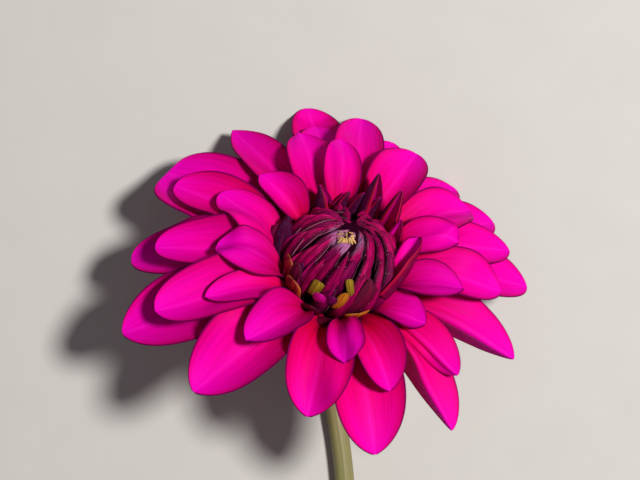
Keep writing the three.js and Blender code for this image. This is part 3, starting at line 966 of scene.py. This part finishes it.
# Count, angles of height of root and tip on the dome, turn, width, how far it stands out, keel.
FLORET_RINGS = [
    (7, 56, 85, 26, 1.9, -0.8, 0.6),
    (9, 44, 80, 24, 2.4, -0.4, 0.9),
    (10, 32, 74, 20, 3.2, 0.0, 1.2),
    (12, 16, 66, 16, 3.7, 0.45, 1.4),
    (13, -6, 55, 12, 4.2, 0.9, 1.6),
    (14, -34, 40, 8, 4.5, 1.3, 1.6),
]
FLORET_OUTLINE = {**BLADE, "widest": 0.42, "point": 1.25, "claw": 0.8}
TURN_EASING = 1.5
TURN_BEFORE = 0.4
KEEL_EASING = 1.1
KEEL_FULL_WIDTH = 1.4
PLEATS = 4
PLEAT_HEIGHT = 0.1
PLEAT_FULL_WIDTH = 1.5
BOW = 0.25
TIP_SINKS_FROM = 0.7

# Round the left of the dome the florets turn the other way, more than elsewhere.
SWIRL = 28
SWIRL_DIRECTION = 150

# A pale bloom round the tuft, this far in millimetres: fine hairs, and a painted sheen where the
# top catches the light.
BLOOM_AND_SHEEN_CENTRE = np.array([0.4, 0.4, 9.8])
BLOOM_AND_SHEEN_REACH = 9.5
BLOOM_AND_SHEEN_COLOUR = (0.44, 0.19, 0.42)
# Painted shade for the gaps between the florets.
GAP_SHADE_COLOUR = (0.012, 0.0, 0.007)
SPECK_COLOUR = (0.52, 0.26, 0.38)
LIP_COLOUR = (0.58, 0.15, 0.28)

# Each floret skin's dark and light.
FLORET_COLOURS = {
    "crimson": ((0.10, 0.0, 0.018), (0.60, 0.0, 0.14)),
    "maroon": ((0.07, 0.0, 0.016), (0.44, 0.0, 0.10)),
    "plum": ((0.05, 0.0, 0.020), (0.32, 0.001, 0.10)),
}


def on_dome(height, turn, standing):
    """Points near the dome, by angle of height, direction, and how far they stand out."""
    depth = np.where(height < 0, DOME_DEPTH, DOME_HEIGHT)
    radius = (DOME_RADIUS + standing) * np.cos(np.radians(height))
    return np.stack([
        radius * np.cos(np.radians(turn)),
        radius * np.sin(np.radians(turn)),
        (depth + standing) * np.sin(np.radians(height)),
    ], axis=1)


def towards_hollow(height, turn):
    """Directions on the dome, leaned towards the hollow: wholly at the top, not at the foot."""
    lean = np.radians(HOLLOW_LEAN * np.clip(height / 90, 0, 1) ** HOLLOW_EASING)
    high, turn = np.radians(height), np.radians(turn - HOLLOW_DIRECTION)
    out, side, up = np.cos(high) * np.cos(turn), np.cos(high) * np.sin(turn), np.sin(high)
    leant_out = out * np.cos(lean) + up * np.sin(lean)
    leant_up = np.clip(up * np.cos(lean) - out * np.sin(lean), -1, 1)
    turn = np.degrees(np.arctan2(side, leant_out)) + HOLLOW_DIRECTION
    return np.degrees(np.arcsin(leant_up)), turn


def floret_points(floret, across, along):
    """A keeled, pleated floret that lies along the dome from its root to its tip."""
    t = along

    def line_at(share):
        height = floret["base"] + (floret["tip"] - floret["base"]) * share
        turn = floret["at"] + floret["turn"] * (share**TURN_EASING - TURN_BEFORE)
        return towards_hollow(height, turn)

    height, turn = line_at(t)
    place = on_dome(height, turn, 0 * t)
    line = on_dome(*line_at(t + LOOK_AHEAD), 0 * t) - place
    line /= np.linalg.norm(line, axis=1)[:, None]
    depth = np.where(height < 0, DOME_DEPTH, DOME_HEIGHT)
    out = place / np.stack([DOME_RADIUS + 0 * t, DOME_RADIUS + 0 * t, depth], axis=1) ** 2
    out /= np.linalg.norm(out, axis=1)[:, None]
    side = np.cross(out, line)
    half = floret["width"] / 2 * width_share(FLORET_OUTLINE, t)
    reach = half * across
    keel = floret["keel"] * np.minimum(1, half / KEEL_FULL_WIDTH)
    keel *= 1 - np.abs(across) ** KEEL_EASING
    shingle = floret["shingle"] * across * np.minimum(1, half)
    pleats = PLEAT_HEIGHT * np.cos(across * math.pi * PLEATS)
    pleats *= np.minimum(1, half / PLEAT_FULL_WIDTH)
    bow = BOW * np.sin(math.pi * t) - np.maximum(t - TIP_SINKS_FROM, 0)
    standing = floret["lift"] + keel + shingle + pleats + bow - reach**2 / (2 * DOME_RADIUS)
    return place + side * reach[:, None] + out * standing[:, None]


def near_bloom_and_sheen(node):
    """How near a point is to the middle of the bloom and its painted sheen, from 0 to 1."""
    places = {
        0: node("ShaderNodeTexCoord").outputs["Object"], 1: Vector(laid(BLOOM_AND_SHEEN_CENTRE)) * MM,
    }
    distance = node("ShaderNodeVectorMath", places, operation="DISTANCE").outputs["Value"]
    reach = calculated(node, "DIVIDE", distance, BLOOM_AND_SHEEN_REACH * MM)
    return ramped(node, reach, (0.12, WHITE), (1, BLACK))


def specks_of(node, vector):
    """Round specks of many sizes, strewn over a floret."""
    placed = node("ShaderNodeMapping", {"Vector": vector, "Scale": (9, 26, 1)}).outputs["Vector"]
    cells = node("ShaderNodeTexVoronoi", {"Vector": placed, "Scale": 1})
    size = node("ShaderNodeSeparateXYZ", {0: cells.outputs["Color"]}).outputs["X"]
    reach = calculated(node, "MULTIPLY_ADD", size, 0.3, cells.outputs["Distance"])
    return ramped(node, reach, (0.16, WHITE), (0.26, BLACK))


def floret_material(name, dark, light):
    """Ribbed skin with painted shade at its root and edges, a bloom with painted sheen, specks and
    a pale lip.
    """
    node, finished = new_material(name, 0.5, 0.06)
    u, v, vector = uv_of(node)
    edge = edge_of(node, u)
    ribs = stretched_noise(node, vector, (17, 1.5, 1), 4)
    body = mixed(node, ramped(node, ribs, (0.38, BLACK), (0.60, WHITE)), dark, light)
    patches = stretched_noise(node, vector, (3, 5, 1))
    patched = ramped(node, patches, (0.36, (0.6, 0.6, 0.65)), (0.58, WHITE))
    body = mixed(node, 1.0, body, patched, "MULTIPLY")
    # Painted shade, darker towards the floret's root.
    shade = ramped(node, v, (0, (0.2, 0.2, 0.2)), (0.35, WHITE))
    body = mixed(node, 1.0, body, shade, "MULTIPLY")
    # Painted shade: each floret darkens to near black at its edges, for the shadow in the gaps.
    border = ramped(node, edge, (0.5, BLACK), (0.8, (0.9, 0.9, 0.9)), (1, WHITE))
    body = mixed(node, border, body, GAP_SHADE_COLOUR)
    # Pale streaks round the tuft: a bloom of fine hairs, partly a painted sheen.
    streaks = stretched_noise(node, vector, (11, 2.5, 1), 4)
    bloom = calculated(node, "MULTIPLY", streaks, near_bloom_and_sheen(node))
    bloom = ramped(node, bloom, (0.27, BLACK), (0.42, (0.75, 0.75, 0.75)))
    body = mixed(node, bloom, body, BLOOM_AND_SHEEN_COLOUR)
    near_edge = ramped(node, edge, (0.4, BLACK), (0.62, WHITE))
    specks = mixed(node, 1.0, specks_of(node, vector), near_edge, "MULTIPLY")
    body = mixed(node, specks, body, SPECK_COLOUR)
    lip = ramped(node, u, (0.93, BLACK), (0.965, (0.9, 0.9, 0.9)))
    body = mixed(node, calculated(node, "MULTIPLY", lip, patches), body, LIP_COLOUR)
    height = calculated(node, "MULTIPLY_ADD", specks, 1.2, ribs)
    return finished(body, (height, 0.8, 0.0003))


foot_angle = math.degrees(math.asin(DOME_FOOT / DOME_DEPTH))
dome_angles = np.linspace(foot_angle, DOME_TOP_ANGLE, DOME_RINGS)
dome_places = on_dome(dome_angles, 0 * dome_angles, 0 * dome_angles - DOME_SINK)
dome = turned("middle_dome", [(place[0], place[2]) for place in dome_places], DOME_SIDES)
dome.data.materials.append(
    grainy_material("dome_shade", 0.8, 0.02, 500, 3, DOME_SHADE_COLOURS, (0.5, 0.0003)),
)
finish_mesh(dome)
middle_pieces = [dome]

FLORET_SKINS = [
    floret_material(f"floret_{tint}", *colours) for tint, colours in FLORET_COLOURS.items()
]
floret_blank = flat_sheet("floret_blank", *FLORET_GRID)
across, along = across_along(floret_blank)
draw = random.Random(7)
for level, (count, base, tip, turn, width, lift, keel) in enumerate(FLORET_RINGS):
    for i in range(count):
        floret = {
            "at": 360 / count * (i + level / 3) + draw.uniform(-4, 4),
            "base": base,
            "tip": tip + draw.uniform(-6, 4),
            "turn": turn + draw.uniform(-7, 7),
            "width": width * draw.uniform(0.84, 1.1),
            "lift": lift + draw.uniform(-0.1, 0.12),
            "keel": keel * draw.uniform(0.7, 1.2),
            "shingle": draw.uniform(-0.2, 0.6),
        }
        floret["turn"] -= SWIRL * math.cos(math.radians(floret["at"] - SWIRL_DIRECTION))
        points = laid(floret_points(floret, across, along))
        name = f"floret_{level + 1}_{i + 1}"
        piece = curled(floret_blank, name, points, draw.choice(FLORET_SKINS))
        thickened(piece, FLORET_THICKNESS, offset=-1)
        middle_pieces.append(piece)
for piece in middle_pieces:
    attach(piece, "root")
    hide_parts("closed_middle")

# ---- The chaff and the tuft ----
# Scales from olive and orange to maroon, dry and ribbed, stand among the lowest florets, with one
# round magenta petal tip. A tuft of pale yellow hairs marks the top of the middle.

# Direction, height, length, width, lean out of the dome, how far it stands out, turn, and finish.
SCALES = [
    (237, 12, 5.0, 3.1, 4, 2.8, 4, "olive"),
    (279, 24, 4.6, 1.9, 4, 2.7, -4, "olive"),
    (264, 4, 5.8, 2.7, 4, 2.9, 8, "amber"),
    (198, 2, 5.8, 4.6, 8, 2.9, 0, "orange"),
    (219, -8, 6.8, 5.6, 14, 3.5, 0, "orange"),
    (318, -20, 8.0, 2.8, 6, 1.9, 8, "amber"),
    (286, -15, 4.6, 6.5, 14, 3.2, 0, "amber"),
    (281, -4, 9.8, 4.6, 4, 3.1, 20, "maroon"),
    (214, 6, 6.4, 4.8, 6, 3.1, -3, "maroon"),
    (213, 28, 2.4, 1.5, 10, 2.9, 0, "plum"),
    (243, -22, 6.4, 5.6, 14, 3.0, 0, "maroon"),
    (247, 10, 3.8, 3.4, 16, 3.5, 0, "magenta"),
    (259, 10, 3.6, 2.8, 12, 3.0, 0, "plum"),
    (300, -8, 8.5, 4.4, 4, 2.0, 4, "maroon"),
]
SCALE_OUTLINES = {
    "olive": {"widest": 0.85, "point": 0.35, "claw": 0.85},
    "orange": {"widest": 0.7, "point": 0.6, "claw": 0.8},
    "amber": {"widest": 0.7, "point": 0.7, "claw": 0.7},
    "plum": {"widest": 0.6, "point": 0.5, "claw": 0.7},
    "maroon": {"widest": 0.45, "point": 0.75, "claw": 0.7},
    "magenta": {"widest": 0.6, "point": 0.5, "claw": 0.7},
    "tuft": {"widest": 0.3, "point": 1.0, "claw": 0.7},
}
SCALE_THICKNESS = 0.25
SCALE_CUP = 0.28
SCALE_FOOT_SINK = 0.7
SCALE_RIBS = 3
SCALE_RIB_HEIGHT = 0.12
SMOOTH_FINISHES = ("magenta", "plum")
TUFT_HAIRS = 20
HAIR_WIDTH = 0.3
HAIR_STANDING = 1.1

# Each finish's material, and its colours: dark, light and rim.
SCALE_COLOURS = {
    "olive": ("chaff_olive", (0.10, 0.055, 0.004), (0.46, 0.29, 0.015), (0.12, 0.035, 0.0)),
    "orange": ("chaff_orange", (0.10, 0.001, 0.010), (0.46, 0.022, 0.010), (0.52, 0.17, 0.02)),
    "amber": ("chaff_amber", (0.34, 0.05, 0.003), (0.62, 0.24, 0.012), (0.22, 0.05, 0.004)),
    "maroon": ("chaff_maroon", (0.035, 0.0, 0.014), (0.19, 0.0, 0.035), (0.022, 0.0, 0.012)),
    "plum": ("chaff_plum", (0.06, 0.0, 0.04), (0.22, 0.001, 0.12), (0.03, 0.0, 0.02)),
    "magenta": ("young_tip", (0.55, 0.0, 0.22), (0.80, 0.0, 0.42), (0.35, 0.0, 0.16)),
    "tuft": ("tuft_hair", (0.72, 0.28, 0.02), (0.95, 0.82, 0.38), (0.62, 0.22, 0.02)),
}


def scale_material(name, dark, light, rim):
    node, finished = new_material(name, 0.5)
    u, _, vector = uv_of(node)
    ribs = stretched_noise(node, vector, (13, 1, 1), 4)
    ribs = ramped(node, ribs, (0.34, BLACK), (0.66, WHITE))
    border = ramped(node, edge_of(node, u), (0.7, BLACK), (1, (0.8, 0.8, 0.8)))
    colour = mixed(node, border, mixed(node, ribs, dark, light), rim)
    return finished(colour, (ribs, 0.7, 0.0002))


SCALE_FINISHES = {finish: scale_material(*row) for finish, row in SCALE_COLOURS.items()}


def scale_points(scale, across, along):
    """A small cupped scale that climbs the dome and leans out from it."""
    at, base, length, width, lean, standing, bend, finish = scale
    degrees = math.degrees(length / DOME_RADIUS)
    height = base + degrees * along
    place = on_dome(height, at + bend * along, 0 * along)
    out = place / np.linalg.norm(place, axis=1)[:, None]
    turn = math.radians(at)
    side = np.array([-math.sin(turn), math.cos(turn), 0])
    half = width / 2 * width_share({**BLADE, **SCALE_OUTLINES[finish]}, along)
    away = standing + length * along * math.tan(math.radians(lean))
    away -= SCALE_CUP * half * across**2 + SCALE_FOOT_SINK * (1 - along) ** 2
    if finish not in SMOOTH_FINISHES:
        away += SCALE_RIB_HEIGHT * np.cos(across * math.pi * SCALE_RIBS)
    return place + side * (half * across)[:, None] + out * away[:, None]


chaff = []
for i, scale in enumerate(SCALES):
    points = laid(scale_points(scale, across, along))
    finish = SCALE_FINISHES[scale[-1]]
    chaff.append(curled(floret_blank, f"chaff_scale_{i + 1}", points, finish))
for i in range(TUFT_HAIRS):
    hair = (
        360 / TUFT_HAIRS * i + draw.uniform(-12, 12), draw.uniform(78, 86), draw.uniform(0.7, 1.4),
        HAIR_WIDTH, draw.uniform(5, 50), HAIR_STANDING, 0, "tuft",
    )
    points = laid(scale_points(hair, across, along))
    chaff.append(curled(floret_blank, f"tuft_hair_{i + 1}", points, SCALE_FINISHES["tuft"]))
for piece in chaff:
    thickened(piece, SCALE_THICKNESS)
    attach(piece, "root")
    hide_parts("closed_middle")
bpy.data.objects.remove(floret_blank)

# ---- Floor, light and camera ----
# A plain pale floor, one soft light from high on the right, and a weak even light from all round.
# The camera looks straight down, as the flower was seen.

# In metres, from here on.
FLOOR_SIZE = 6
FLOOR_COLOURS = (0.56, 0.55, 0.53), (0.60, 0.59, 0.57)
KEY_DIRECTION = (0.44, 0.13, 0.88)
KEY_DISTANCE = 0.9
KEY_SIZE = 0.16
KEY_ENERGY = 9.8
KEY_COLOUR = (1.0, 0.97, 0.93)
ROOM_COLOUR = (0.96, 0.97, 1.0, 1)
ROOM_STRENGTH = 0.14
CAMERA_PLACE = (-0.002448, 0.035722, 0.483)
CAMERA_LENS = 103.8
CAMERA_SENSOR = 36
CAMERA_NEAR = 0.01

bpy.ops.mesh.primitive_plane_add(size=FLOOR_SIZE, location=(0, 0, 0))
floor = bpy.context.object
floor.name = "floor"
floor.data.materials.append(grainy_material("floor_paper", 0.85, 0.1, 60, 2, FLOOR_COLOURS))

key_direction = Vector(KEY_DIRECTION).normalized()
key_data = bpy.data.lights.new("key", "AREA")
key_data.shape = "DISK"
key_data.size = KEY_SIZE
key_data.energy = KEY_ENERGY
key_data.color = KEY_COLOUR
key = bpy.data.objects.new("key", key_data)
key.location = Vector(HEAD_CENTRE) * MM + key_direction * KEY_DISTANCE
key.rotation_euler = key_direction.to_track_quat("Z", "Y").to_euler()
bpy.context.scene.collection.objects.link(key)

world = bpy.data.worlds.new("soft_room")
world.use_nodes = True
background = world.node_tree.nodes["Background"]
background.inputs["Color"].default_value = ROOM_COLOUR
background.inputs["Strength"].default_value = ROOM_STRENGTH
bpy.context.scene.world = world
bpy.context.scene.view_settings.view_transform = "Standard"

camera_data = bpy.data.cameras.new("camera")
camera_data.lens = CAMERA_LENS
camera_data.sensor_width = CAMERA_SENSOR
camera_data.clip_start = CAMERA_NEAR
camera = bpy.data.objects.new("camera", camera_data)
camera.location = CAMERA_PLACE
bpy.context.scene.collection.objects.link(camera)
bpy.context.scene.camera = camera
